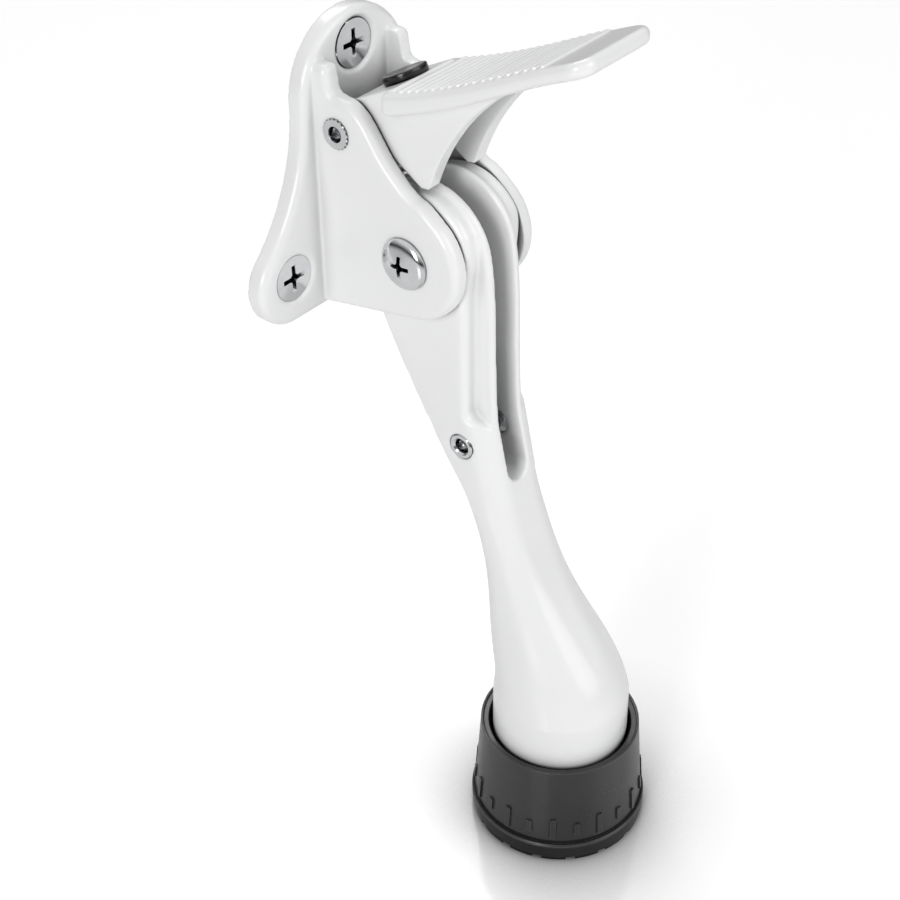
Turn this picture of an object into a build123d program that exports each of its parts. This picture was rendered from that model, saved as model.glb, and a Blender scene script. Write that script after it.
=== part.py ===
from build123d import *
from math import acos, atan2, cos, degrees, hypot, radians, sin
import os

# Kick-down door holder with a release pedal, leg down, foot on the floor.
# The door's face is the plane Y = 0, the holder stands out along -Y and +Z is up.
# The origin is on the door's face, midway between the two lower screws.

# ---- driving dimensions (mm) ----
plate_t = 3.3               # thickness of the screw plate
screw_half_gap = 16.9       # half the distance between the lower screws
top_screw_z = 35.1
screw_r = 2.0               # shank of a countersunk wood screw
neck_r = 2.5                # its thicker neck, inside the plate
screw_head_r = 4.0
screw_out = 5.4             # screw length behind the plate
top_lobe_r = 12.6
top_lobe_z = 28.5
low_lobe_r = 7.5
low_lobe_z = -0.6
low_lobe_x = 17.3

pivot_out = 21.2            # leg axis, distance from the door
pivot_up = 6.3              # leg axis, height above the origin
cheek_in = 7.4              # the two cheeks stand between these half-widths
cheek_out = 10.3
cheek_r = 10.3              # round end of a cheek, about the leg axis

leg_half = 7.1              # half-width of the leg's flat upper part
flange_half = 4.1           # half-width of the raised walls along the slot
slot_half = 2.6
head_r = 11.2               # leg's head, about the leg axis
flange_r = 11.8
leg_end_r = 12.35           # round lower end of the leg
leg_end_f = 25.8            # its axis, forward of the leg axis
floor_z = -113.1            # floor, below the leg axis
leg_end_z = -104.0          # leg's lower end face

# points in the side view, as (forward, up) from the leg axis
pin_c = (-13.4, 18.5)       # pedal pin, also the spring's upper anchor
pin_b = (8.4, -34.0)        # spring's lower anchor, in the leg
pedal_pin_r = 1.9
spring_pin_r = 2.35

web_in = 4.3                # the pedal's two side webs stand between these half-widths
web_out = 7.1
tread_half = 9.2
ledge_tilt = 26.6           # slope of the pedal's rear ledge, which carries the bumper
ledge_rise = 3.9            # ledge's distance from the pedal pin's axis
bumper_along = 8.7          # bumper's place up the ledge, from the pedal pin
bumper_r = 3.75
bumper_proud = 1.4

coil_r = 1.75               # centre line of the spring's coils
wire_r = 0.4

running = 0.05              # radial clearance of a turning fit
gap = 0.02                  # clearance of pieces that only touch


def side(x=0.0):
    """Side-view plane at half-width x: local x is forward (-Y), local y is up, from the leg axis."""
    return Plane(origin=(x, -pivot_out, pivot_up), x_dir=(0, -1, 0), z_dir=(-1, 0, 0))


def across(point):
    """Plane whose axis runs along +X through a side-view point, at mid-width."""
    return Plane(origin=(0, -pivot_out - point[0], pivot_up + point[1]), x_dir=(0, 1, 0), z_dir=(1, 0, 0))


def level(f, z):
    """Horizontal plane through the side-view point (f, z), its X along +X."""
    return Plane(origin=(0, -pivot_out - f, pivot_up + z))


def polar(radius, angle, centre=(0.0, 0.0)):
    """Point at a radius and an angle in degrees about a centre."""
    return (centre[0] + radius * cos(radians(angle)), centre[1] + radius * sin(radians(angle)))


def cross_recess(plane, reach, depth):
    """Tapered cross that is cut into a screw head, sunk from a plane."""
    with BuildPart() as piece:
        with BuildSketch(plane):
            Rectangle(2 * reach, 0.36 * reach)
            Rectangle(0.36 * reach, 2 * reach)
            Circle(0.36 * reach)
        extrude(amount=-depth, taper=14)
    return piece.part


os.makedirs("parts", exist_ok=True)

# ---- bracket: one casting, a three-lobed plate with two cheeks ----
lobe_dx = top_lobe_r - low_lobe_x
lobe_dz = top_lobe_z - low_lobe_z
flank_r = (lobe_dx**2 + lobe_dz**2 - low_lobe_r**2) / (2 * (low_lobe_r - lobe_dx))
flank_centre = (top_lobe_r + flank_r, top_lobe_z)
top_lobe = (0, top_lobe_z)
flank_start = (top_lobe_r, top_lobe_z)
flank_turn = degrees(atan2(low_lobe_z - flank_centre[1], low_lobe_x - flank_centre[0])) + 360
flank_end = polar(flank_r, flank_turn, flank_centre)
flank_mid = polar(flank_r, (flank_turn + 180) / 2, flank_centre)
low_lobe = (low_lobe_x, low_lobe_z)
lobe_start = flank_turn - 180
lobe_mid = polar(low_lobe_r, (lobe_start - 90) / 2, low_lobe)
lobe_foot = polar(low_lobe_r, -90, low_lobe)
plate_edge_soft = 1.3

cheek_front = [(-12.6, 24.1), (-9.4, 22.9), (-6.7, 19.8), (-3.3, 15.2), (1.4, 11.2)]
cheek_front_turn = 50.0     # angle where the front edge runs into the round end
cheek_back = -19.5          # cheeks start inside the plate
cheek_top = 28.9
cheek_low = (cheek_back, -14.2)
cheek_low_turn = degrees(atan2(cheek_low[1], cheek_low[0]) + acos(cheek_r / hypot(*cheek_low)))
cheek_corner = 1.1
cheek_soft = 1.3

with BuildPart() as cheek:
    with BuildSketch(side(-cheek_in)) as cheek_view:
        with BuildLine():
            round_start = polar(cheek_r, cheek_front_turn)
            round_mid = polar(cheek_r, (cheek_front_turn + cheek_low_turn) / 2)
            round_end = polar(cheek_r, cheek_low_turn)
            Polyline((cheek_back, cheek_top), (-15.3, cheek_top), (-14.6, 24.4), cheek_front[0])
            Spline(*cheek_front, round_start, tangents=[(1, -0.05), polar(1, cheek_front_turn - 90)])
            ThreePointArc(round_start, round_mid, round_end)
            Polyline(round_end, cheek_low, (cheek_back, cheek_top))
        make_face()
        fillet(cheek_view.vertices().sort_by_distance((-15, 26.5))[:2], cheek_corner)
    extrude(amount=cheek_out - cheek_in)
    outer_face = cheek.faces().sort_by(Axis.X)[0]
    fillet(outer_face.edges().filter_by(lambda e: -e.center().Y > plate_t), cheek_soft)

pin_hole_r = pedal_pin_r + running
pivot_shoulder_r = 2.5
pivot_hole_r = pivot_shoulder_r + running
stop_low = (-9.05, -13.6)   # the stop web ends just behind the leg's back
stop_high = (-9.95, -11.6)

sink_r = screw_head_r + 0.3     # countersinks, before the room each screw has in its hole
top_screw = (0, top_screw_z)
low_screws = [(-screw_half_gap, 0), (screw_half_gap, 0)]

with BuildPart() as bracket:
    with BuildSketch(Plane.XZ):
        with BuildLine():
            ThreePointArc(polar(top_lobe_r, 90, top_lobe), polar(top_lobe_r, 45, top_lobe), flank_start)
            ThreePointArc(flank_start, flank_mid, flank_end)
            ThreePointArc(flank_end, lobe_mid, lobe_foot)
            Line(lobe_foot, (0, lobe_foot[1]))
            mirror(about=Plane.YZ)
        make_face()
    extrude(amount=plate_t)
    fillet(bracket.faces().sort_by(Axis.Y)[0].edges(), plate_edge_soft)
    add(cheek.part)
    mirror(cheek.part, about=Plane.YZ)
    with BuildSketch(side(cheek_in)):
        with BuildLine():
            Polyline((cheek_back, stop_low[1]), stop_low, stop_high, (cheek_back, stop_high[1]), close=True)
        make_face()
    extrude(amount=2 * cheek_in)
    with Locations(across(pin_c)):
        Hole(radius=pin_hole_r)
    with Locations(across((0, 0))):
        Hole(radius=pivot_hole_r)
    with Locations(Plane.XZ.offset(plate_t)):
        for places, room in (([top_screw], 0.5), (low_screws, 0.2)):
            with Locations(*places):
                CounterSinkHole(neck_r + room, counter_sink_radius=sink_r + room, counter_sink_angle=90)

bracket.part.label = "bracket"
export_step(bracket.part, "parts/bracket.step")

# ---- leg: one casting, forked head, slotted neck and a round lower end ----
back_knee = (-head_r, -7.9)     # the head's straight back turns into the neck's long back here
back_mid = (-0.5, -29.2)
neck_back = (7.0, -41.0)
neck_front = (15.7, -41.0)
ledge_f = 9.2                   # front of the flat upper part, beside the raised walls
ledge_end = (ledge_f, -28.0)
ledge_foot = (13.4, -30.2)
wall_foot = (15.1, -40.5)       # the raised walls run into the neck a little above this
leg_soft = 1.2
wall_soft = 0.8
neck_soft = 4.4                 # rounding of the neck's front, from the slot's edges to the sides
neck_round_top = -27.0          # the flat ledges keep their square corners above this
slot_floor_top = (-5.7, -14.0)  # above this point the slot is open to the back
slot_floor_low = (9.8, -41.5)
clear_of = 30.0                 # reach of a cut that has to pass the casting

# neck sections below the flat part: height, middle, half-depth, half-width, front and rear corner radius
neck_sections = [
    (-47.0, 13.25, 4.0, 7.0, 4.4, 2.6),
    (-54.0, 15.4, 4.55, 7.1, 4.6, 4.0),
    (-61.0, 17.65, 5.8, 7.6, 5.5, 5.3),
    (-68.0, 20.3, 7.8, 8.9, 7.2, 7.1),
    (-76.0, 23.8, 10.4, 10.9, 10.0, 10.0),
    (-84.0, leg_end_f, leg_end_r, leg_end_r, leg_end_r - 0.1, leg_end_r - 0.1),
]
stud_r = 4.0
stud_top = -90.0
stud_bore_top = -87.0

with BuildPart() as neck_round:
    with BuildSketch(level(0, neck_round_top)):
        Rectangle(2 * clear_of, 4 * clear_of)
    extrude(amount=2 * clear_of)
    front_run = (neck_front[0] - ledge_foot[0], neck_front[1] - ledge_foot[1])
    bar_plane = Plane(level(*neck_front).origin, x_dir=(1, 0, 0), z_dir=(0, front_run[0], -front_run[1]))
    with BuildSketch(bar_plane) as bar_view:
        Rectangle(2 * leg_half, clear_of, align=(Align.CENTER, Align.MIN))
        fillet(bar_view.vertices().group_by(Axis.Y)[0], neck_soft)
    extrude(amount=clear_of, both=True)

with BuildPart() as leg_upper:
    with BuildSketch(side(leg_half)) as upper_view:
        with BuildLine():
            Line(back_knee, (-head_r, 0))
            ThreePointArc((-head_r, 0), polar(head_r, 120), polar(head_r, 35))
            Spline(polar(head_r, 35), (ledge_f, -6), tangents=[polar(1, -55), (0, -1)])
            Polyline((ledge_f, -6), ledge_end, ledge_foot, neck_front, neck_back)
            ThreePointArc(neck_back, back_mid, back_knee)
        make_face()
        fillet(upper_view.vertices().sort_by_distance(back_knee)[0], 6)
        fillet(upper_view.vertices().sort_by_distance(ledge_end)[0], 2)
        fillet(upper_view.vertices().sort_by_distance(ledge_foot)[0], 2)
    extrude(amount=2 * leg_half)
    flanks = leg_upper.faces().filter_by(Axis.X)
    fillet(flanks.edges().filter_by(lambda e: e.center().Z > pivot_up + neck_back[1] + gap), leg_soft)
    add(neck_round.part, mode=Mode.INTERSECT)

with BuildPart() as leg_walls:
    with BuildSketch(side(flange_half)):
        with BuildLine():
            ThreePointArc(polar(flange_r, 165), polar(flange_r, 90), polar(flange_r, 10))
            Spline(polar(flange_r, 10), (12.9, -25.0), wall_foot, tangents=[polar(1, -80), (0.25, -1)])
            Polyline(wall_foot, (9.0, -40.5), (-6.0, -9.0), polar(flange_r, 165))
        make_face()
    extrude(amount=2 * flange_half)
    rims = leg_walls.faces().filter_by(Axis.X).edges().filter_by(GeomType.LINE, reverse=True)
    fillet(rims, wall_soft)

with BuildPart() as leg_slot:
    with BuildSketch(side(slot_half)):
        with BuildLine():
            Polyline(
                (clear_of, slot_floor_low[1]), slot_floor_low, slot_floor_top,
                (-clear_of, slot_floor_top[1]), (-clear_of, clear_of), (clear_of, clear_of), close=True,
            )
        make_face()
    extrude(amount=2 * slot_half)
    with BuildSketch(Plane.XZ.offset(pivot_out)):
        slot_round = pivot_up + slot_floor_low[1] + slot_half
        with Locations((0, slot_round)):
            Circle(slot_half)
            Rectangle(2 * slot_half, 3 * clear_of, align=(Align.CENTER, Align.MIN))
    extrude(amount=2 * clear_of, both=True, mode=Mode.INTERSECT)

neck_top = leg_upper.faces().sort_by(Axis.Z)[0]

with BuildPart() as leg:
    add(neck_top)
    for height, middle, half_depth, half_width, front_r, rear_r in neck_sections:
        with BuildSketch(level(middle, height)) as section:
            Rectangle(2 * half_width, 2 * half_depth)
            fillet(section.vertices().group_by(Axis.Y)[0], front_r)
            fillet(section.vertices().group_by(Axis.Y)[-1], rear_r)
    loft()
    with BuildSketch(level(leg_end_f, neck_sections[-1][0])):
        RectangleRounded(2 * leg_end_r, 2 * leg_end_r, leg_end_r - 0.1)
    extrude(amount=leg_end_z - neck_sections[-1][0])
    fillet(leg.faces().sort_by(Axis.Z)[0].edges(), leg_soft)
    add(leg_upper.part)
    add(leg_walls.part)
    add(leg_slot.part, mode=Mode.SUBTRACT)
    with Locations(across(pin_b)):
        Hole(radius=spring_pin_r + gap)
    with Locations(across((0, 0))):
        Hole(radius=screw_r + gap)
    with BuildSketch(level(leg_end_f, leg_end_z)):
        Circle(stud_r + running)
    extrude(amount=stud_bore_top - leg_end_z, mode=Mode.SUBTRACT)

leg.part.label = "leg"
export_step(leg.part, "parts/leg.step")

# ---- pedal: one casting, ridged tread, two side webs, rear ledge ----
tread_rear = -5.6
tread_front = 32.2
tread_top = [(-6.5, 26.6), (3.9, 29.8), (10.0, 32.3), (17.0, 35.5), (23.8, 38.8), (32.6, 42.4)]
tread_bottom = [(32.6, 39.7), (24.4, 36.3), (17.0, 32.6), (6.0, 27.3), (-6.5, 22.8)]
tread_soft = 1.0
ridge_count = 19
ridge_r = 0.6
ridge_sunk = 0.25
ridge_half = 8.2
toe_back = (1.0, 12.25)
toe_front = (2.5, 12.5)
arch_mid = (7.9, 23.2)
arch_end = (17.4, 32.6)
barrel_r = 3.5
hook_room_r = 2.9
hook_room_half = 4.0
bumper_room = 0.25
bumper_soft = 0.45
bumper_stem_r = 1.4
bumper_stem = 1.3
ledge_thick = 2.5


def on_ledge(along, rise):
    """Side-view point, measured along and off the rear ledge from the pedal pin."""
    slope = radians(ledge_tilt)
    f = pin_c[0] + along * cos(slope) - rise * sin(slope)
    return (f, pin_c[1] + along * sin(slope) + rise * cos(slope))


bumper_seat = on_ledge(bumper_along, ledge_rise)
bumper_plane = Plane(
    origin=(0, -pivot_out - bumper_seat[0], pivot_up + bumper_seat[1]),
    x_dir=(1, 0, 0),
    z_dir=(0, sin(radians(ledge_tilt)), cos(radians(ledge_tilt))),
)

with BuildPart() as tread:
    with BuildSketch(side(tread_half)):
        with BuildLine():
            top_line = Spline(*tread_top)
            Spline(*tread_bottom)
            Line(tread_top[-1], tread_bottom[0])
            Line(tread_bottom[-1], tread_top[0])
        make_face()
    extrude(amount=2 * tread_half)
    with BuildSketch(level((tread_rear + tread_front) / 2, 0)) as tread_plan:
        Rectangle(2 * tread_half, tread_front - tread_rear)
        fillet(tread_plan.vertices().group_by(Axis.Y)[0], 3.2)
        fillet(tread_plan.vertices().group_by(Axis.Y)[-1], 1.6)
    extrude(amount=2 * clear_of, mode=Mode.INTERSECT)
    fillet(tread.edges().filter_by(Axis.Z, reverse=True), tread_soft)
    with BuildSketch(side(ridge_half)):
        for i in range(ridge_count):
            crest = top_line @ (0.07 + 0.72 * i / (ridge_count - 1))
            with Locations((crest.X, crest.Y - ridge_sunk)):
                Circle(ridge_r)
    extrude(amount=2 * ridge_half)

with BuildPart() as web:
    with BuildSketch(side(-web_in)):
        with BuildLine():
            ThreePointArc(toe_front, arch_mid, arch_end)
            Polyline(
                arch_end, (17.4, 33.8), (-4.0, 26.0), on_ledge(2.85, ledge_rise), on_ledge(0, barrel_r),
                on_ledge(0, -barrel_r), (-4.6, 15.8), toe_back, toe_front,
            )
        make_face()
        with Locations(pin_c):
            Circle(barrel_r)
    extrude(amount=web_out - web_in)

with BuildPart() as pedal:
    add(tread.part)
    add(web.part)
    mirror(web.part, about=Plane.YZ)
    with BuildSketch(side(web_out)):
        with BuildLine():
            Polyline(
                on_ledge(2.85, ledge_rise), on_ledge(12.5, ledge_rise),
                on_ledge(12.5, ledge_rise - ledge_thick), on_ledge(1.0, ledge_rise - ledge_thick), close=True,
            )
        make_face()
    extrude(amount=2 * web_out)
    with BuildSketch(side(hook_room_half)):
        with Locations(pin_c):
            Circle(hook_room_r)
    extrude(amount=2 * hook_room_half, mode=Mode.SUBTRACT)
    with BuildSketch(bumper_plane):
        Circle(bumper_r + bumper_room)
    extrude(amount=2 * bumper_proud, mode=Mode.SUBTRACT)
    with BuildSketch(bumper_plane):
        Circle(bumper_stem_r + gap)
    extrude(amount=-bumper_stem - gap, mode=Mode.SUBTRACT)
    with Locations(across(pin_c)):
        Hole(radius=pin_hole_r)

pedal.part.label = "pedal"
export_step(pedal.part, "parts/pedal.step")

# ---- pedal bumper: rubber button with a stem pressed into the ledge ----
with BuildPart() as pedal_bumper:
    with BuildSketch(bumper_plane.offset(gap)):
        Circle(bumper_r)
    extrude(amount=bumper_proud)
    bumper_top = pedal_bumper.faces().sort_by(Axis(bumper_plane.origin, bumper_plane.z_dir))[-1]
    fillet(bumper_top.edges(), bumper_soft)
    with BuildSketch(bumper_plane.offset(gap)):
        Circle(bumper_stem_r)
    extrude(amount=-bumper_stem)

pedal_bumper.part.label = "pedal_bumper"
export_step(pedal_bumper.part, "parts/pedal_bumper.step")


# ---- turned pins and screws across the holder ----
def turned(point, outline):
    """Piece turned about the axis along X through a side-view point, from an (x, radius) outline."""
    with BuildPart() as piece:
        with BuildSketch(Plane(origin=across(point).origin, x_dir=(1, 0, 0), z_dir=(0, -1, 0))):
            with BuildLine():
                Polyline(*outline, close=True)
            make_face()
        revolve(axis=Axis(across(point).origin, (1, 0, 0)))
    return piece.part


def both_ends(right_half):
    """Outline of a pin that is alike at both ends, from its right-hand half."""
    return [(-x, r) for x, r in reversed(right_half)] + right_half


rim_r = 2.6                     # flared, serrated ends of the pedal pin
rim_proud = 0.35
waist_r = 1.3                   # both pins are waisted where the spring hooks on
waist_half = 0.9
socket_r = 1.35
socket_deep = 3.0
tooth_count = 20
tooth_r = 0.2
edge = 0.1                      # small edge breaks on the turned ends

pin_half = cheek_out + gap + rim_proud
pedal_pin_half = [
    (waist_half, waist_r), (waist_half + 0.4, pedal_pin_r), (cheek_out + gap, pedal_pin_r),
    (cheek_out + gap, rim_r), (pin_half - edge, rim_r), (pin_half, rim_r - edge), (pin_half, socket_r),
    (pin_half - socket_deep, socket_r), (pin_half - socket_deep - 0.6, 0),
]
pedal_pin_body = turned(pin_c, both_ends(pedal_pin_half))

with BuildPart() as pedal_pin:
    add(pedal_pin_body)
    with BuildSketch(across(pin_c).offset(cheek_out + gap)):
        with PolarLocations(rim_r, tooth_count):
            Circle(tooth_r)
    extrude(amount=rim_proud, mode=Mode.SUBTRACT)
    with BuildSketch(across(pin_c).offset(-cheek_out - gap)):
        with PolarLocations(rim_r, tooth_count):
            Circle(tooth_r)
    extrude(amount=-rim_proud, mode=Mode.SUBTRACT)

pedal_pin.part.label = "pedal_pin"
export_step(pedal_pin.part, "parts/pedal_pin.step")

spring_pin_end = leg_half - 0.05    # its ends lie just below the leg's sides
spring_pin_half = [
    (slot_half - gap, waist_r), (slot_half + 0.4, spring_pin_r), (spring_pin_end - 2 * edge, spring_pin_r),
    (spring_pin_end, spring_pin_r - 2 * edge), (spring_pin_end, socket_r + 3 * edge),
    (spring_pin_end - 3 * edge, socket_r), (spring_pin_end - socket_deep, socket_r),
    (spring_pin_end - socket_deep - 0.5, 0),
]
spring_pin_body = turned(pin_b, both_ends(spring_pin_half))

with BuildPart() as spring_pin:
    add(spring_pin_body)

spring_pin.part.label = "spring_pin"
export_step(spring_pin.part, "parts/spring_pin.step")

truss_r = 4.5
truss_rise = 1.7
truss_rim = 0.35
thread_half = 2.9               # the stub screws end just short of the slot
truss_cross_reach = 2.2
truss_cross_deep = 1.7

seat = cheek_out + running
pivot_cross = cross_recess(across((0, 0)).offset(seat + truss_rise), truss_cross_reach, truss_cross_deep)

with BuildPart() as pivot_screw:
    with BuildSketch(Plane(origin=across((0, 0)).origin, z_dir=(0, -1, 0), x_dir=(1, 0, 0))):
        with BuildLine():
            Polyline(
                (seat + truss_rim, truss_r), (seat, truss_r), (seat, pivot_shoulder_r),
                (leg_half + gap, pivot_shoulder_r), (leg_half + gap, screw_r),
                (thread_half + 0.5, screw_r), (thread_half, screw_r - 0.5), (thread_half, 0),
                (seat + truss_rise, 0),
            )
            Spline(
                (seat + truss_rise, 0), (seat + 0.8 * truss_rise, 0.55 * truss_r),
                (seat + truss_rim, truss_r), tangents=[(0, 1), (-1, 0.5)],
            )
        make_face()
    revolve(axis=Axis(across((0, 0)).origin, (1, 0, 0)))
    add(pivot_cross, mode=Mode.SUBTRACT)

with BuildPart() as pivot_screws:
    add(pivot_screw.part)
    mirror(pivot_screw.part, about=Plane.YZ)

pivot_screws.part.label = "pivot_screws"
export_step(pivot_screws.part, "parts/pivot_screws.step")

washer_r = 5.0
washer_in = leg_half + running
washer_out = cheek_in - running

with BuildPart() as pivot_washers:
    with BuildSketch(across((0, 0)).offset(washer_in)):
        Circle(washer_r)
        Circle(pivot_shoulder_r + 2 * running, mode=Mode.SUBTRACT)
    extrude(amount=washer_out - washer_in)
    mirror(pivot_washers.part, about=Plane.YZ)

pivot_washers.part.label = "pivot_washers"
export_step(pivot_washers.part, "parts/pivot_washers.step")

# ---- extension spring: open coil with a round hook at each end ----
spring_len = hypot(pin_b[0] - pin_c[0], pin_b[1] - pin_c[1])
spring_dir = ((pin_b[0] - pin_c[0]) / spring_len, (pin_b[1] - pin_c[1]) / spring_len)
spring_side = (-spring_dir[1], spring_dir[0])
coil_turns = 21
coil_from = 3.4                 # coils start this far from each pin's axis
coil_len = spring_len - 2 * coil_from
hook_sweep = 240.0


def along_spring(distance, aside=0.0):
    """Side-view point at a distance from the pedal pin along the spring, and to its side."""
    f = pin_c[0] + distance * spring_dir[0] + aside * spring_side[0]
    return (f, pin_c[1] + distance * spring_dir[1] + aside * spring_side[1])


def hook(centre, toward):
    """Round hook about a pin, and its straight end up to the coil; toward is +1 or -1 along the spring."""
    base = 0 if toward > 0 else spring_len
    start = along_spring(base + toward * coil_from, coil_r)
    shoulder = along_spring(base, coil_r)
    turn = degrees(atan2(spring_side[1], spring_side[0]))
    half = polar(coil_r, turn + toward * hook_sweep / 2, centre)
    end = polar(coil_r, turn + toward * hook_sweep, centre)
    with BuildPart() as piece:
        with BuildLine(side()) as path:
            Line(start, shoulder)
            ThreePointArc(shoulder, half, end)
        with BuildSketch(Plane(path.wire() @ 0, z_dir=path.wire() % 0)):
            Circle(wire_r)
        sweep()
        with Locations(path.wire() @ 0):
            Sphere(wire_r)
    return piece.part


coil_start = along_spring(coil_from)
coil_plane = Plane(
    origin=(0, -pivot_out - coil_start[0], pivot_up + coil_start[1]),
    x_dir=(0, -spring_side[0], spring_side[1]),
    z_dir=(0, -spring_dir[0], spring_dir[1]),
)

upper_hook = hook(pin_c, 1)
lower_hook = hook(pin_b, -1)

with BuildPart() as coil:
    with BuildLine() as coil_line:
        Helix(pitch=coil_len / coil_turns, height=coil_len, radius=coil_r)
    with BuildSketch(Plane(coil_line.wire() @ 0, z_dir=coil_line.wire() % 0)):
        Circle(wire_r)
    sweep(path=coil_line.wire(), is_frenet=True)

with BuildPart() as extension_spring:
    with Locations(coil_plane):
        add(coil.part)
    add(upper_hook)
    add(lower_hook)

extension_spring.part.label = "extension_spring"
export_step(extension_spring.part, "parts/extension_spring.step")

# ---- mounting screws: countersunk wood screws through the plate ----
head_sunk = 0.4                 # the heads lie a little below the plate's front
neck_end = -0.3                 # the thicker neck stays inside the plate
plain_start = 0.2
plain_end = 3.0                 # plain shank up to here behind the plate
thread_pitch = 1.6
thread_count = 1
core_r = 1.4
head_rim = 0.05
wood_cross_reach = 2.4
wood_cross_deep = 1.9

head_y = head_sunk - plate_t
wood_cross = cross_recess(Plane.XZ.offset(-head_y), wood_cross_reach, wood_cross_deep)

with BuildPart() as wood_screw:
    with BuildSketch(Plane.XY):
        with BuildLine():
            outline = [(0, head_y), (screw_head_r, head_y), (screw_head_r, head_y + head_rim)]
            outline += [(neck_r, head_y + head_rim + screw_head_r - neck_r), (neck_r, neck_end)]
            outline += [(screw_r, plain_start), (screw_r, plain_end)]
            for i in range(thread_count):
                root_y = plain_end + (i + 0.35) * thread_pitch
                outline += [(core_r, root_y), (core_r, root_y + 0.3 * thread_pitch)]
                outline += [(screw_r, root_y + 0.6 * thread_pitch)]
            Polyline(*outline, (0, screw_out), close=True)
        make_face()
    revolve(axis=Axis.Y)
    add(wood_cross, mode=Mode.SUBTRACT)

with BuildPart() as mounting_screws:
    with Locations(*[(x, 0, z) for x, z in [top_screw, *low_screws]]):
        add(wood_screw.part)

mounting_screws.part.label = "mounting_screws"
export_step(mounting_screws.part, "parts/mounting_screws.step")

# ---- rubber foot, and the steel disc with a threaded stud inside it ----
foot_rim_z = -92.3
foot_rim_in = 12.75
foot_rim_out = 14.6
foot_wall_out = 15.7
foot_lip_r = 16.3
foot_cup_z = -106.5             # floor of the cup
disc_r = 10.0
disc_low = -109.6
disc_high = -107.6
sole_notches = 16
notch_wide = 1.8
notch_deep = 1.8                # across the lip
notch_high = 0.7
foot_plane = Plane(origin=(0, -pivot_out - leg_end_f, pivot_up), x_dir=(1, 0, 0), z_dir=(0, -1, 0))
foot_axis = Axis(foot_plane.origin, (0, 0, 1))

with BuildPart() as rubber_foot:
    with BuildSketch(foot_plane):
        with BuildLine():
            Polyline(
                (0, floor_z), (foot_lip_r - 0.3, floor_z), (foot_lip_r, floor_z + 1.8),
                (foot_lip_r, floor_z + 3.6), (foot_lip_r - 0.3, floor_z + 3.9),
                (foot_wall_out, floor_z + 4.1), (foot_wall_out, floor_z + 4.7),
                (foot_rim_out, foot_rim_z + 0.3), (foot_rim_out - 0.3, foot_rim_z),
                (foot_rim_in + 0.5, foot_rim_z), (foot_rim_in, foot_rim_z - 0.6), (foot_rim_in, foot_cup_z),
                (stud_r + 1, foot_cup_z), (stud_r + 1, disc_high + running),
                (disc_r + running, disc_high + running), (disc_r + running, disc_low - running),
                (0, disc_low - running), close=True,
            )
        make_face()
    revolve(axis=foot_axis)
    with BuildSketch(level(leg_end_f, floor_z)):
        with PolarLocations(foot_lip_r, sole_notches):
            Rectangle(2 * notch_deep, notch_wide)
    extrude(amount=notch_high, mode=Mode.SUBTRACT)

rubber_foot.part.label = "rubber_foot"
export_step(rubber_foot.part, "parts/rubber_foot.step")

with BuildPart() as foot_stud:
    with BuildSketch(foot_plane):
        with BuildLine():
            Polyline(
                (0, disc_low), (disc_r, disc_low), (disc_r, disc_high), (stud_r, disc_high),
                (stud_r, stud_top - 0.8), (stud_r - 0.8, stud_top), (0, stud_top), close=True,
            )
        make_face()
    revolve(axis=foot_axis)

foot_stud.part.label = "foot_stud"
export_step(foot_stud.part, "parts/foot_stud.step")
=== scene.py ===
"""Looks of the kick-down floor door holder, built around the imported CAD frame.

The door's face is the plane Y = 0, the holder stands out along -Y and +Z is up. Lengths are in metres;
the named sizes below are in millimetres and are multiplied by MM.
"""

from math import asin, cos, pi, radians, sin, tau

import bmesh
import bpy
from mathutils import Matrix, Vector


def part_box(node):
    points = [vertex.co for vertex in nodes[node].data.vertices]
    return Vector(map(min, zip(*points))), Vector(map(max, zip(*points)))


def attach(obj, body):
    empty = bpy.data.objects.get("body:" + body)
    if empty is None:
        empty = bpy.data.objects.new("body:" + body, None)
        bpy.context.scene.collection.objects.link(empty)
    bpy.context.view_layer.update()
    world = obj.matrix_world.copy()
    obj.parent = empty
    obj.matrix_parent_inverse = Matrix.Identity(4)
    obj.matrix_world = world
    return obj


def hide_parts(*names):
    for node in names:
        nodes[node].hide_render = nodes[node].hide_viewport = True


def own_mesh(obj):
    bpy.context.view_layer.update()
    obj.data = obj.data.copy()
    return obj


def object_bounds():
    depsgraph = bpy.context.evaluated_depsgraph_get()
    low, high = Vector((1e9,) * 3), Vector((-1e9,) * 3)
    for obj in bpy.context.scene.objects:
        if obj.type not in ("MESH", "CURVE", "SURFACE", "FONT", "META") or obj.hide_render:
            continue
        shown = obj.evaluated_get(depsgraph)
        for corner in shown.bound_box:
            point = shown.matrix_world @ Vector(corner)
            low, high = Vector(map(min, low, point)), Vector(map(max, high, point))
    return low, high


MM = 0.001
MERGE = 1e-6                    # corners of a CAD mesh that are closer than this are one, in metres

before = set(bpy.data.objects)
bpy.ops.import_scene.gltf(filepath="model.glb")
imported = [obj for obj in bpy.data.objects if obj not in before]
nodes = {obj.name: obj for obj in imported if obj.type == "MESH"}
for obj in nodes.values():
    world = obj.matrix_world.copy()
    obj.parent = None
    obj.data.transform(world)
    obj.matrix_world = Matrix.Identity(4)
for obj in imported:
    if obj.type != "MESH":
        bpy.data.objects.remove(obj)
cad_low, cad_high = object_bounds()


def middle(node):
    low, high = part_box(node)
    return (low + high) / 2


# ---- places taken from the frame ----
foot_low, foot_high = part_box("rubber_foot")
stud_low, stud_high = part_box("foot_stud")
screws_low, screws_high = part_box("mounting_screws")
foot_middle = middle("rubber_foot")
pedal_axis = middle("pedal_pin")
spring_low_pin = middle("spring_pin")
floor_height = foot_low.z


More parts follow.
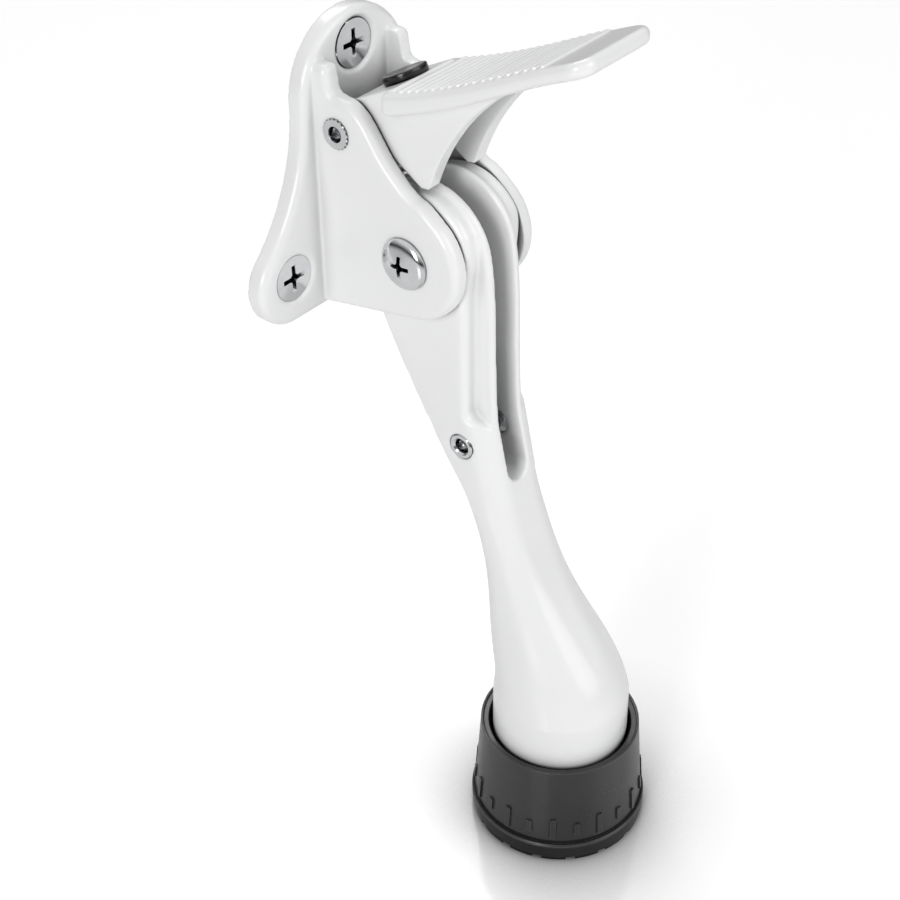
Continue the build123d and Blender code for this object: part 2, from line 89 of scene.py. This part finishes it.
# ---- material nodes ----
def new_material(name):
    mat = bpy.data.materials.new(name)
    mat.use_nodes = True
    tree = mat.node_tree
    tree.nodes.clear()
    out = tree.nodes.new("ShaderNodeOutputMaterial")
    shader = tree.nodes.new("ShaderNodeBsdfPrincipled")
    tree.links.new(shader.outputs[0], out.inputs[0])
    return mat, tree, shader


def wire(tree, socket, value):
    """Sets a socket to a value, or links it to another node's output."""
    if isinstance(value, bpy.types.NodeSocket):
        tree.links.new(value, socket)
    else:
        socket.default_value = value


def add_node(tree, kind, inputs, **settings):
    made = tree.nodes.new(kind)
    for key, value in settings.items():
        setattr(made, key, value)
    for key, value in inputs.items():
        wire(tree, made.inputs[key], value)
    return made


def place(tree, stretch=(1, 1, 1)):
    """The piece's own coordinates in metres, stretched for patterns that run one way."""
    coords = tree.nodes.new("ShaderNodeTexCoord")
    scaled = add_node(tree, "ShaderNodeMapping", {"Vector": coords.outputs["Object"], "Scale": stretch})
    return scaled.outputs[0]


def noise(tree, where, grain_mm, detail=2.0, roughness=0.5):
    """Noise whose lumps are about grain_mm across, from 0 to 1."""
    inputs = {"Vector": where, "Scale": 1 / (grain_mm * MM), "Detail": detail, "Roughness": roughness}
    return add_node(tree, "ShaderNodeTexNoise", inputs).outputs["Fac"]


def ramp(tree, value, from_low, from_high, to_low, to_high):
    """Carries a value from one range to another; past the ends it stays at the end."""
    source = {"Value": value, "From Min": from_low, "From Max": from_high}
    target = {"To Min": to_low, "To Max": to_high}
    return add_node(tree, "ShaderNodeMapRange", {**source, **target}).outputs["Result"]


def times(tree, a, b):
    return add_node(tree, "ShaderNodeMath", {0: a, 1: b}, operation="MULTIPLY").outputs[0]


def blend_colours(tree, share, a, b):
    inputs = {0: share, 6: a, 7: b}
    return add_node(tree, "ShaderNodeMix", inputs, data_type="RGBA").outputs[2]


def bump(tree, height, deep_mm, strength=1.0, normal=None):
    inputs = {"Height": height, "Distance": deep_mm * MM, "Strength": strength}
    if normal is not None:
        inputs["Normal"] = normal
    return add_node(tree, "ShaderNodeBump", inputs).outputs[0]


def rounded_edges(tree, radius_mm):
    """Shading normal that rounds sharp edges by this radius."""
    return add_node(tree, "ShaderNodeBevel", {"Radius": radius_mm * MM}, samples=6).outputs[0]


def openness(tree, reach_mm):
    """How open a spot is to its surroundings, from 0 in a deep corner to 1 on a free face."""
    inputs = {"Distance": reach_mm * MM}
    return add_node(tree, "ShaderNodeAmbientOcclusion", inputs, samples=8).outputs["AO"]


def white_coat(name):
    """Gloss white coat over a zinc casting: faint orange peel, worn edges, painted shade in corners and
    narrow gaps.
    """
    mat, tree, shader = new_material(name)
    where = place(tree)
    patches = noise(tree, where, 18, detail=3)
    peel = noise(tree, where, 1.3, detail=2)
    grain = noise(tree, where, 0.25, detail=3, roughness=0.65)
    coat = blend_colours(tree, patches, (0.895, 0.90, 0.895, 1), (0.87, 0.877, 0.875, 1))
    edge = add_node(tree, "ShaderNodeNewGeometry", {}).outputs["Pointiness"]
    worn = times(tree, ramp(tree, edge, 0.60, 0.74, 0, 0.4), ramp(tree, grain, 0.45, 0.65, 0, 1))
    coat = blend_colours(tree, worn, coat, (0.62, 0.62, 0.6, 1))
    # painted shade: the coat turns grey where other surfaces close in within 7 mm
    deep = ramp(tree, openness(tree, 7), 0.2, 0.75, 0.72, 0)
    coat = blend_colours(tree, deep, coat, (0.22, 0.22, 0.22, 1))
    # painted shade: the coat turns near black in creases and gaps narrower than about 1.6 mm
    crease_shade = ramp(tree, openness(tree, 1.6), 0.15, 0.6, 0.92, 0)
    wire(tree, shader.inputs["Base Color"], blend_colours(tree, crease_shade, coat, (0.03, 0.03, 0.03, 1)))
    wire(tree, shader.inputs["Roughness"], ramp(tree, patches, 0, 1, 0.24, 0.38))
    wire(tree, shader.inputs["Coat Weight"], 0.35)
    wire(tree, shader.inputs["Coat Roughness"], 0.12)
    rough = bump(tree, grain, 0.006, 0.35)
    wire(tree, shader.inputs["Normal"], bump(tree, peel, 0.03, 0.35, rough))
    return mat


def bright_plate(name):
    """Bright chrome plate: fine hairline scratches, slight smears, softened edges, painted shade in sockets
    and recesses.
    """
    mat, tree, shader = new_material(name)
    where = place(tree)
    smears = noise(tree, where, 2.5, detail=3)
    hairlines = noise(tree, place(tree, (1, 1, 14)), 0.9, detail=4, roughness=0.7)
    plate = blend_colours(tree, smears, (0.84, 0.85, 0.86, 1), (0.66, 0.67, 0.69, 1))
    # painted shade: the plate turns near black in sockets and recesses within 1.6 mm
    deep = ramp(tree, openness(tree, 1.6), 0.35, 0.85, 1, 0)
    wire(tree, shader.inputs["Base Color"], blend_colours(tree, deep, plate, (0.02, 0.02, 0.021, 1)))
    wire(tree, shader.inputs["Metallic"], 1.0)
    wire(tree, shader.inputs["Roughness"], ramp(tree, smears, 0.3, 0.7, 0.07, 0.16))
    wire(tree, shader.inputs["Normal"], bump(tree, hairlines, 0.006, 0.3, rounded_edges(tree, 0.10)))
    return mat


def zinc_plate(name):
    """Duller zinc plate: cloudy tone, drawn and turned marks."""
    mat, tree, shader = new_material(name)
    where = place(tree)
    clouds = noise(tree, where, 1.6, detail=4, roughness=0.6)
    marks = noise(tree, place(tree, (1, 1, 10)), 0.6, detail=3)
    wire(tree, shader.inputs["Base Color"],
         blend_colours(tree, clouds, (0.62, 0.63, 0.64, 1), (0.40, 0.41, 0.43, 1)))
    wire(tree, shader.inputs["Metallic"], 1.0)
    wire(tree, shader.inputs["Roughness"], ramp(tree, clouds, 0.25, 0.75, 0.26, 0.46))
    wire(tree, shader.inputs["Normal"], bump(tree, marks, 0.010, 0.4, rounded_edges(tree, 0.06)))
    return mat


# heights in millimetres from the band's top, for rubber that has a band
band_fade = 0.5
# the dull line is a painted shade line that stands for the shade in the foot's groove
line_start = (0.35, 0.5)        # the dull line fades in and out between these
line_end = (1.1, 1.3)


def black_rubber(name, shine, dark, pale, band_top=None):
    """Moulded black rubber: stippled skin from dark to pale, a painted highlight on the edges, painted shade
    in the grooves.

    A higher shine is smoother. Below the height band_top, in metres, the skin reflects less, as painted
    shade, and a little above it a line round the shape barely reflects, as a painted shade line.
    """
    mat, tree, shader = new_material(name)
    where = place(tree)
    clouds = noise(tree, where, 7, detail=4, roughness=0.6)
    stipple = noise(tree, where, 0.35, detail=3, roughness=0.6)
    soft = rounded_edges(tree, 0.12)
    flat = tree.nodes.new("ShaderNodeNewGeometry").outputs["Normal"]
    pair = {0: soft, 1: flat}
    lean = add_node(tree, "ShaderNodeVectorMath", pair, operation="DOT_PRODUCT").outputs["Value"]
    # painted highlight: speckled pale grey along rounded edges
    edge_highlight = times(tree, ramp(tree, lean, 0.80, 0.995, 1, 0), ramp(tree, stipple, 0.35, 0.65, 0.5, 1))
    skin = blend_colours(tree, clouds, (dark, dark, dark, 1), (pale, pale, pale, 1))
    skin = blend_colours(tree, edge_highlight, skin, (0.22, 0.22, 0.22, 1))
    # painted shade: black and barely reflecting in grooves and hollows within 1.2 mm
    groove_shade = ramp(tree, openness(tree, 1.2), 0.35, 0.9, 1, 0)
    wire(tree, shader.inputs["Base Color"], blend_colours(tree, groove_shade, skin, (0.001, 0.001, 0.001, 1)))
    gleam = ramp(tree, groove_shade, 0, 1, 0.6, 0.05)
    # painted shade: less reflection below band_top, and a line above it that barely reflects
    if band_top is not None:
        height = add_node(tree, "ShaderNodeSeparateXYZ", {"Vector": where}).outputs["Z"]
        gleam = times(tree, gleam, ramp(tree, height, band_top - band_fade * MM, band_top, 0.3, 1))
        line_low, line_high = ([band_top + above * MM for above in ends] for ends in (line_start, line_end))
        over = ramp(tree, height, *line_low, 0, 1)
        shade_line = times(tree, over, ramp(tree, height, *line_high, 1, 0))
        gleam = times(tree, gleam, ramp(tree, shade_line, 0, 1, 1, 0.05))
    wire(tree, shader.inputs["Specular IOR Level"], gleam)
    wire(tree, shader.inputs["Roughness"], ramp(tree, clouds, 0, 1, 0.42 - shine, 0.62 - shine))
    wire(tree, shader.inputs["Normal"], bump(tree, stipple, 0.02, 0.3, soft))
    return mat


WHITE = white_coat("white_gloss_coat")
CHROME = bright_plate("bright_plate")
ZINC = zinc_plate("zinc_plate")
lip_high = 3.6                  # straight part of the rubber foot's lip, above the floor
# below the lip's straight part the rubber reflects less, as painted shade
FOOT_RUBBER = black_rubber("foot_rubber", 0.22, 0.010, 0.024, floor_height + lip_high * MM)
BUTTON_RUBBER = black_rubber("button_rubber", 0.30, 0.003, 0.006)


def paint(obj, mat):
    obj.data.materials.clear()
    obj.data.materials.append(mat)


# ---- the castings: the CAD shapes with cast edges and filled inside corners ----
def cast(obj, voxel_mm, passes, share):
    """Rebuilds a closed shape on a fine grid and softens it, then thins out the flat areas."""
    grid = obj.modifiers.new("grid", "REMESH")
    grid.mode = "VOXEL"
    grid.voxel_size = voxel_mm * MM
    grid.use_smooth_shade = True
    soften = obj.modifiers.new("soften", "SMOOTH")
    soften.factor = 0.5
    soften.iterations = passes
    thin = obj.modifiers.new("thin", "DECIMATE")
    thin.ratio = share


kept_share = 0.4                # of the fine grid's faces
for casting, voxel_mm, passes in (("bracket", 0.24, 6), ("leg", 0.28, 6), ("pedal", 0.20, 4)):
    paint(nodes[casting], WHITE)
    cast(nodes[casting], voxel_mm, passes, kept_share)

for plated in ("pedal_pin", "pivot_screws", "spring_pin"):
    paint(nodes[plated], CHROME)
paint(nodes["pivot_washers"], ZINC)


# ---- mesh helpers ----
def finished(name, work, mat, body, node, smooth_below=40):
    """Turns a bmesh into a piece with a material, riding on a body and standing for a CAD node."""
    bmesh.ops.recalc_face_normals(work, faces=work.faces)
    mesh = bpy.data.meshes.new(name)
    work.to_mesh(mesh)
    work.free()
    obj = bpy.data.objects.new(name, mesh)
    bpy.context.scene.collection.objects.link(obj)
    imported = mesh.attributes.get("custom_normal")
    if imported:
        mesh.attributes.remove(imported)
    mesh.shade_smooth()
    mesh.set_sharp_from_angle(angle=radians(smooth_below))
    paint(obj, mat)
    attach(obj, body)
    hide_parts(node)
    return obj


def sew_rings(work, rings, closed=False):
    """Quads between neighbouring rings of vertices; a ring of one vertex is a tip."""
    pairs = list(zip(rings, rings[1:] + rings[:1] if closed else rings[1:]))
    for first, second in pairs:
        count = max(len(first), len(second))
        for i in range(count):
            j = (i + 1) % count
            corners = [first[i % len(first)], first[j % len(first)]]
            corners += [second[j % len(second)], second[i % len(second)]]
            unique = list(dict.fromkeys(corners))
            if len(unique) > 2:
                work.faces.new(unique)


flank_share = 0.32              # of a pitch, from a thread's crest to its root


def thread_form(turn):
    """Height of a thread's flank after some turns, from 0 in the root to 1 on the crest."""
    share = turn % 1.0
    return max(0.0, 1 - abs(share - 0.5) / flank_share)


def turned_rings(work, stations, segments, to_frame, pitch=None):
    """Rings of a turned shape from (radius, height, thread depth) stations, all in millimetres."""
    rings = []
    for radius, height, deep in stations:
        if radius <= 0:
            rings.append([work.verts.new(to_frame @ Vector((0, 0, height * MM)))])
            continue
        ring = []
        for i in range(segments):
            share = i / segments
            cut = deep * (1 - thread_form(height / pitch - share)) if pitch else 0
            r = (radius - cut) * MM
            spot = Vector((r * cos(tau * share), r * sin(tau * share), height * MM))
            ring.append(work.verts.new(to_frame @ spot))
        rings.append(ring)
    return rings


def steps(start, end, count):
    return [start + (end - start) * i / count for i in range(count + 1)]


# ---- mounting screws: CAD heads and plain shanks, with a real helical thread behind the door's face ----
shank_end = 2.6
thread_pitch = 1.6
thread_run = 0.5                # the thread grows to its full depth over this length
thread_deep = 0.58
tip_run = 1.7
tip_curve = 0.7                 # below 1 the tip is rounded, at 1 it is a cone
tip_least_r = 0.06
tip_shallow = 1.3               # the thread runs out over the last 1 / 1.3 of the tip
deepest_share = 0.6             # of the radius
screw_end = screws_high.y / MM
screw_r = 2.0
screw_head_r = 4.0
near_axis = 3.0                 # a shank's cut edge lies within this of its screw's axis
thread_rings = 60
screw_sides = 40


def wood_thread():
    """Stations of the threaded length, from the plain shank to the pointed tip."""
    stations = []
    for y in steps(shank_end, screw_end - 0.02, thread_rings):
        taper = min(1.0, (screw_end - y) / tip_run)
        radius = max(tip_least_r, screw_r * taper ** tip_curve)
        deep = thread_deep * min(1.0, (y - shank_end) / thread_run) * min(1.0, taper * tip_shallow)
        stations.append((radius, y, min(deep, radius * deepest_share)))
    return stations + [(0, screw_end, 0)]


work = bmesh.new()
work.from_mesh(nodes["mounting_screws"].data)
bmesh.ops.remove_doubles(work, verts=work.verts, dist=MERGE)
everything = list(work.verts) + list(work.edges) + list(work.faces)
cut = (0, shank_end * MM, 0)
bmesh.ops.bisect_plane(work, geom=everything, plane_co=cut, plane_no=(0, 1, 0), clear_outer=True)
open_edges = [e for e in work.edges if e.is_boundary]
inset = screw_head_r * MM
low_screw_z = screws_low.z + inset
screw_axes = [Vector((0, 0, screws_high.z - inset))]
screw_axes += [Vector((x, 0, low_screw_z)) for x in (screws_low.x + inset, screws_high.x - inset)]
for axis_point in screw_axes:
    along_y = Matrix.Translation(axis_point) @ Matrix.Rotation(-pi / 2, 4, "X")
    rings = turned_rings(work, wood_thread(), screw_sides, along_y, thread_pitch)
    sew_rings(work, rings)
    near = [e for e in open_edges if (e.verts[0].co - axis_point).xz.length < near_axis * MM]
    first_ring = [work.edges.get((rings[0][i], rings[0][i - 1])) for i in range(len(rings[0]))]
    bmesh.ops.bridge_loops(work, edges=near + first_ring)
finished("mounting_screws_threaded", work, CHROME, "bracket", "mounting_screws", 35)


# ---- foot stud: moulded-in disc and its thread ----
stud_r = 4.0
stud_pitch = 1.5
disc_r = (stud_high.x - stud_low.x) / 2 / MM
disc_t = 2.0
edge = 0.15
thread_gap = 1.0                # plain length at each end of the stud's thread
stud_deep = 0.75
stud_rings = 110
stud_sides = 64
stud_top = (stud_high.z - stud_low.z) / MM

stations = [(0, 0, 0), (disc_r - edge, 0, 0), (disc_r, edge, 0), (disc_r, disc_t - edge, 0)]
stations += [(disc_r - edge, disc_t, 0), (stud_r + 0.5, disc_t, 0), (stud_r - 0.6, disc_t + 0.5, 0)]
for z in steps(disc_t + thread_gap, stud_top - thread_gap, stud_rings):
    stations.append((stud_r, z, stud_deep * min(1.0, (z - disc_t - thread_gap) / stud_pitch)))
stations += [(stud_r - 0.9, stud_top - 0.1, 0), (stud_r - 1.0, stud_top, 0), (0, stud_top, 0)]
work = bmesh.new()
upright = Matrix.Translation(Vector((foot_middle.x, foot_middle.y, stud_low.z)))
sew_rings(work, turned_rings(work, stations, stud_sides, upright, stud_pitch))
finished("foot_stud_threaded", work, ZINC, "foot_post", "foot_stud", 35)


# ---- extension spring: coils, and a loop round each pin that keeps its shape ----
wire_r = 0.4
coil_r = 1.75
coil_turns = 34
coil_from = 4.9                 # the coils start this far from a pin's axis
wire_sides = 12
coil_points = 28                # along the wire in each turn
loop_points = 40
upper_sweep = -330              # degrees round the pin, backwards from the spring's own line
lower_sweep = 352

spring_line = spring_low_pin - pedal_axis
spring_len = spring_line.length / MM
along = spring_line.normalized()
aside = along.cross(Vector((1, 0, 0)))


def spring_point(distance, out, side_x):
    """A point at a distance down the spring, out from its line in the side view and along X."""
    return pedal_axis + (along * distance + aside * out + Vector((side_x, 0, 0))) * MM


def ring_round(distance, turned):
    """The wire's path round a pin, turned by this many degrees from beside the spring's own line."""
    angles = [radians(a) for a in steps(0, turned, loop_points)]
    return [spring_point(distance + coil_r * sin(a), coil_r * cos(a), 0) for a in angles]


def bend_wire(name, path, body):
    """A piece of the spring's wire along a path of points."""
    work = bmesh.new()
    rings = []
    normal = Vector((1, 0, 0))
    for i, point in enumerate(path):
        run = (path[min(i + 1, len(path) - 1)] - path[max(i - 1, 0)]).normalized()
        normal = (normal - run * normal.dot(run)).normalized()
        other = run.cross(normal)
        angles = [tau * k / wire_sides for k in range(wire_sides)]
        ring = [point + (normal * cos(a) + other * sin(a)) * wire_r * MM for a in angles]
        rings.append([work.verts.new(spot) for spot in ring])
    ends = [[work.verts.new(path[0])], [work.verts.new(path[-1])]]
    sew_rings(work, [ends[0]] + rings + [ends[1]])
    return finished(name, work, ZINC, body, "extension_spring")


coil_len = spring_len - 2 * coil_from
coil_steps = coil_turns * coil_points
coils = [spring_point(0, coil_r, 0)]
for i in range(coil_steps + 1):
    turn = tau * coil_turns * i / coil_steps
    coils.append(spring_point(coil_from + coil_len * i / coil_steps, coil_r * cos(turn), coil_r * sin(turn)))
coils.append(spring_point(spring_len, coil_r, 0))
spring = bend_wire("extension_spring_coiled", coils, "spring")
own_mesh(spring)
bend_wire("spring_upper_loop", ring_round(0, upper_sweep), "spring")
bend_wire("spring_lower_loop", ring_round(spring_len, lower_sweep), "leg")


# ---- pedal bumper: rubber button with a rolled rim and a shallow dish ----
ledge_tilt = radians(26.6)
ledge_rise = 3.9
bumper_along = 8.7
bumper_r = 3.75
bumper_proud = 1.4
stem_r = 1.4
stem_deep = 1.3
dish_deep = 0.22
dish_rim = 0.8                  # width of the flat rim round the dish
dish_floor_r = 0.5
nub_r = 0.3
nub_high = 0.08
rim_soft = 0.28
bumper_sides = 72
curve_steps = 6

ledge_up = Vector((0, sin(ledge_tilt), cos(ledge_tilt)))
ledge_out = Vector((0, -cos(ledge_tilt), sin(ledge_tilt)))
seat = pedal_axis + (ledge_out * bumper_along + ledge_up * (ledge_rise + 0.02)) * MM
to_ledge = Matrix.Translation(seat) @ Matrix.Rotation(-ledge_tilt, 4, "X")

stations = [(0, -stem_deep, 0), (stem_r - 0.2, -stem_deep, 0), (stem_r, -stem_deep + 0.2, 0), (stem_r, 0, 0)]
stations += [(bumper_r - 0.3, 0, 0), (bumper_r - 0.08, 0.08, 0), (bumper_r, 0.3, 0), (bumper_r, 0.95, 0)]
for a in steps(0, 90, curve_steps):
    r = bumper_r - rim_soft + rim_soft * cos(radians(a))
    stations.append((r, bumper_proud - rim_soft + rim_soft * sin(radians(a)), 0))
for share in steps(0, 1, curve_steps):
    r = (bumper_r - dish_rim) * (1 - share) + dish_floor_r * share
    stations.append((r, bumper_proud - dish_deep * sin(share * pi / 2), 0))
nub_top = bumper_proud - dish_deep + nub_high
stations += [(nub_r, nub_top, 0), (0, nub_top, 0)]
work = bmesh.new()
sew_rings(work, turned_rings(work, stations, bumper_sides, to_ledge))
finished("pedal_bumper_button", work, BUTTON_RUBBER, "pedal", "pedal_bumper", 50)


# ---- rubber foot: the moulded cup with raised bars of two lengths and a bead at its lip and its rim ----
bar_count = 22
bar_high = 4.6
short_bar = 0.55                # every other bar is this share of the full height
bar_wide = 1.0
bar_proud = 0.32
bar_sunk = 0.5
bars_up = 7.6                   # middle of the bars, above the floor
wall_low = (4.7, 15.7)          # the wall's height above the floor and its outer radius, low and high
wall_high = ((foot_high.z - foot_low.z) / MM - 0.3, 14.6)
lip_bead = (15.92, 3.75, 0.34)  # radius, height above the floor and thickness
rim_bead = (wall_high[1] - 0.26, wall_high[0] + 0.02, 0.27)
bead_segments = 120
bead_sides = 12


def wall_r(height):
    share = (height - wall_low[0]) / (wall_high[0] - wall_low[0])
    return wall_low[1] + (wall_high[1] - wall_low[1]) * share


def add_block(work, corners):
    """Closed block from its four inner and four outer corners."""
    v = [work.verts.new(c) for c in corners]
    for face in ((0, 1, 2, 3), (7, 6, 5, 4), (0, 4, 5, 1), (1, 5, 6, 2), (2, 6, 7, 3), (3, 7, 4, 0)):
        work.faces.new([v[i] for i in face])


def foot_point(radius, angle, height):
    x = foot_middle.x + radius * MM * cos(angle)
    y = foot_middle.y + radius * MM * sin(angle)
    return Vector((x, y, floor_height + height * MM))


def add_bead(work, radius, height, thick):
    """Closed ring of round section about the foot's axis."""
    rings = []
    for i in range(bead_segments):
        angle = tau * i / bead_segments
        leans = [tau * k / bead_sides for k in range(bead_sides)]
        ring = [foot_point(radius + thick * cos(a), angle, height + thick * sin(a)) for a in leans]
        rings.append([work.verts.new(spot) for spot in ring])
    sew_rings(work, rings, closed=True)


work = bmesh.new()
work.from_mesh(nodes["rubber_foot"].data)
bmesh.ops.remove_doubles(work, verts=work.verts, dist=MERGE)
for i in range(bar_count):
    angle = tau * i / bar_count
    half_high = bar_high / 2 * (1.0 if i % 2 else short_bar)
    half_turn = asin(bar_wide / 2 / wall_low[1])
    corners = []
    low_pair = [(-half_turn, -half_high), (half_turn, -half_high)]
    high_pair = [(half_turn, half_high), (-half_turn, half_high)]
    for out in (-bar_sunk, bar_proud):
        for turn, up in low_pair + high_pair:
            height = bars_up + up
            corners.append(foot_point(wall_r(height) + out, angle + turn, height))
    add_block(work, corners)
add_bead(work, *lip_bead)
add_bead(work, *rim_bead)
finished("rubber_foot_moulded", work, FOOT_RUBBER, "foot", "rubber_foot", 25)


# ---- floor, light and camera ----
def floor_material():
    """Plain white sweep: a pale surface with a faint sheen, lit up to white for the camera, with a painted
    contact shadow near the holder.
    """
    mat, tree, shader = new_material("white_sweep")
    tone = noise(tree, place(tree), 260, detail=2)
    plain = blend_colours(tree, tone, (0.82, 0.82, 0.82, 1), (0.79, 0.79, 0.79, 1))
    # painted contact shadow: darker colour and less glow where the holder stands close, within 30 mm
    shaded = ramp(tree, openness(tree, 30), 0.35, 0.95, 0.75, 0)
    wire(tree, shader.inputs["Base Color"], blend_colours(tree, shaded, plain, (0.1, 0.1, 0.1, 1)))
    wire(tree, shader.inputs["Roughness"], 0.12)
    wire(tree, shader.inputs["Emission Color"], (1, 1, 1, 1))
    seen = tree.nodes.new("ShaderNodeLightPath").outputs["Is Camera Ray"]
    wire(tree, shader.inputs["Emission Strength"], times(tree, seen, ramp(tree, shaded, 0, 0.5, 0.34, 0)))
    return mat


floor_half = 3.0                # in metres
floor_gap = 0.02
work = bmesh.new()
bmesh.ops.create_grid(work, x_segments=1, y_segments=1, size=floor_half)
floor_mesh = bpy.data.meshes.new("floor")
work.to_mesh(floor_mesh)
work.free()
floor = bpy.data.objects.new("floor", floor_mesh)
bpy.context.scene.collection.objects.link(floor)
floor.location = (0, 0, floor_height - floor_gap * MM)
floor.data.materials.append(floor_material())

world = bpy.data.worlds.new("studio")
bpy.context.scene.world = world
world.use_nodes = True
tree = world.node_tree
tree.nodes.clear()
sky = add_node(tree, "ShaderNodeBackground", {"Color": (1, 1, 1, 1)})
path_kind = tree.nodes.new("ShaderNodeLightPath").outputs
heading = tree.nodes.new("ShaderNodeTexCoord").outputs["Generated"]
upward = add_node(tree, "ShaderNodeSeparateXYZ", {"Vector": heading}).outputs["Z"]
fill_light = 0.36               # what the world gives to matt surfaces
backdrop = 1.1                  # what the camera sees of it
mirrored = ramp(tree, upward, 0.05, 0.6, 0.05, 0.75)    # dark walls under a pale ceiling
for_glossy = {0: path_kind["Is Glossy Ray"], 2: fill_light, 3: mirrored}
unseen = add_node(tree, "ShaderNodeMix", for_glossy).outputs[0]
wire(tree, sky.inputs["Strength"],
     add_node(tree, "ShaderNodeMix", {0: path_kind["Is Camera Ray"], 2: unseen, 3: backdrop}).outputs[0])
tree.links.new(sky.outputs[0], tree.nodes.new("ShaderNodeOutputWorld").inputs[0])

object_middle = (cad_low + cad_high) / 2


def softbox(name, place_at, size, power):
    """A rectangular light in metres and watts that faces the object."""
    light = bpy.data.lights.new(name, "AREA")
    light.shape = "RECTANGLE"
    light.size, light.size_y = size
    light.energy = power
    lamp = bpy.data.objects.new(name, light)
    bpy.context.scene.collection.objects.link(lamp)
    lamp.location = place_at
    lamp.rotation_mode = "QUATERNION"
    lamp.rotation_quaternion = (object_middle - Vector(place_at)).to_track_quat("-Z", "Y")


softbox("front_softbox", (0.25, -0.9, 0.45), (0.7, 0.9), 4.2)
softbox("left_softbox", (-0.85, -0.25, 0.3), (0.28, 0.42), 3.7)
softbox("back_softbox", (0.45, 0.55, 0.85), (0.6, 0.6), 4.2)

view_azimuth = radians(-50.47)
view_elevation = radians(36.33)
view_roll = radians(-0.77)
view_distance = 310.2 * MM
view_target = Vector((0, -21.46 * MM, -36.1 * MM))
back = Vector((sin(view_azimuth) * cos(view_elevation), -cos(view_azimuth) * cos(view_elevation),
               sin(view_elevation)))
level = Vector((cos(view_azimuth), sin(view_azimuth), 0))
upright_dir = back.cross(level)
right = level * cos(view_roll) + upright_dir * sin(view_roll)
up = upright_dir * cos(view_roll) - level * sin(view_roll)

lens = bpy.data.cameras.new("view")
lens.sensor_width = 36
lens.lens = 70.47
lens.clip_start, lens.clip_end = 0.01, 20
camera = bpy.data.objects.new("view", lens)
bpy.context.scene.collection.objects.link(camera)
camera.matrix_world = Matrix.Translation(view_target + back * view_distance) @ Matrix(
    (right, up, back)).transposed().to_4x4()
bpy.context.scene.camera = camera
bpy.context.scene.view_settings.view_transform = "Standard"
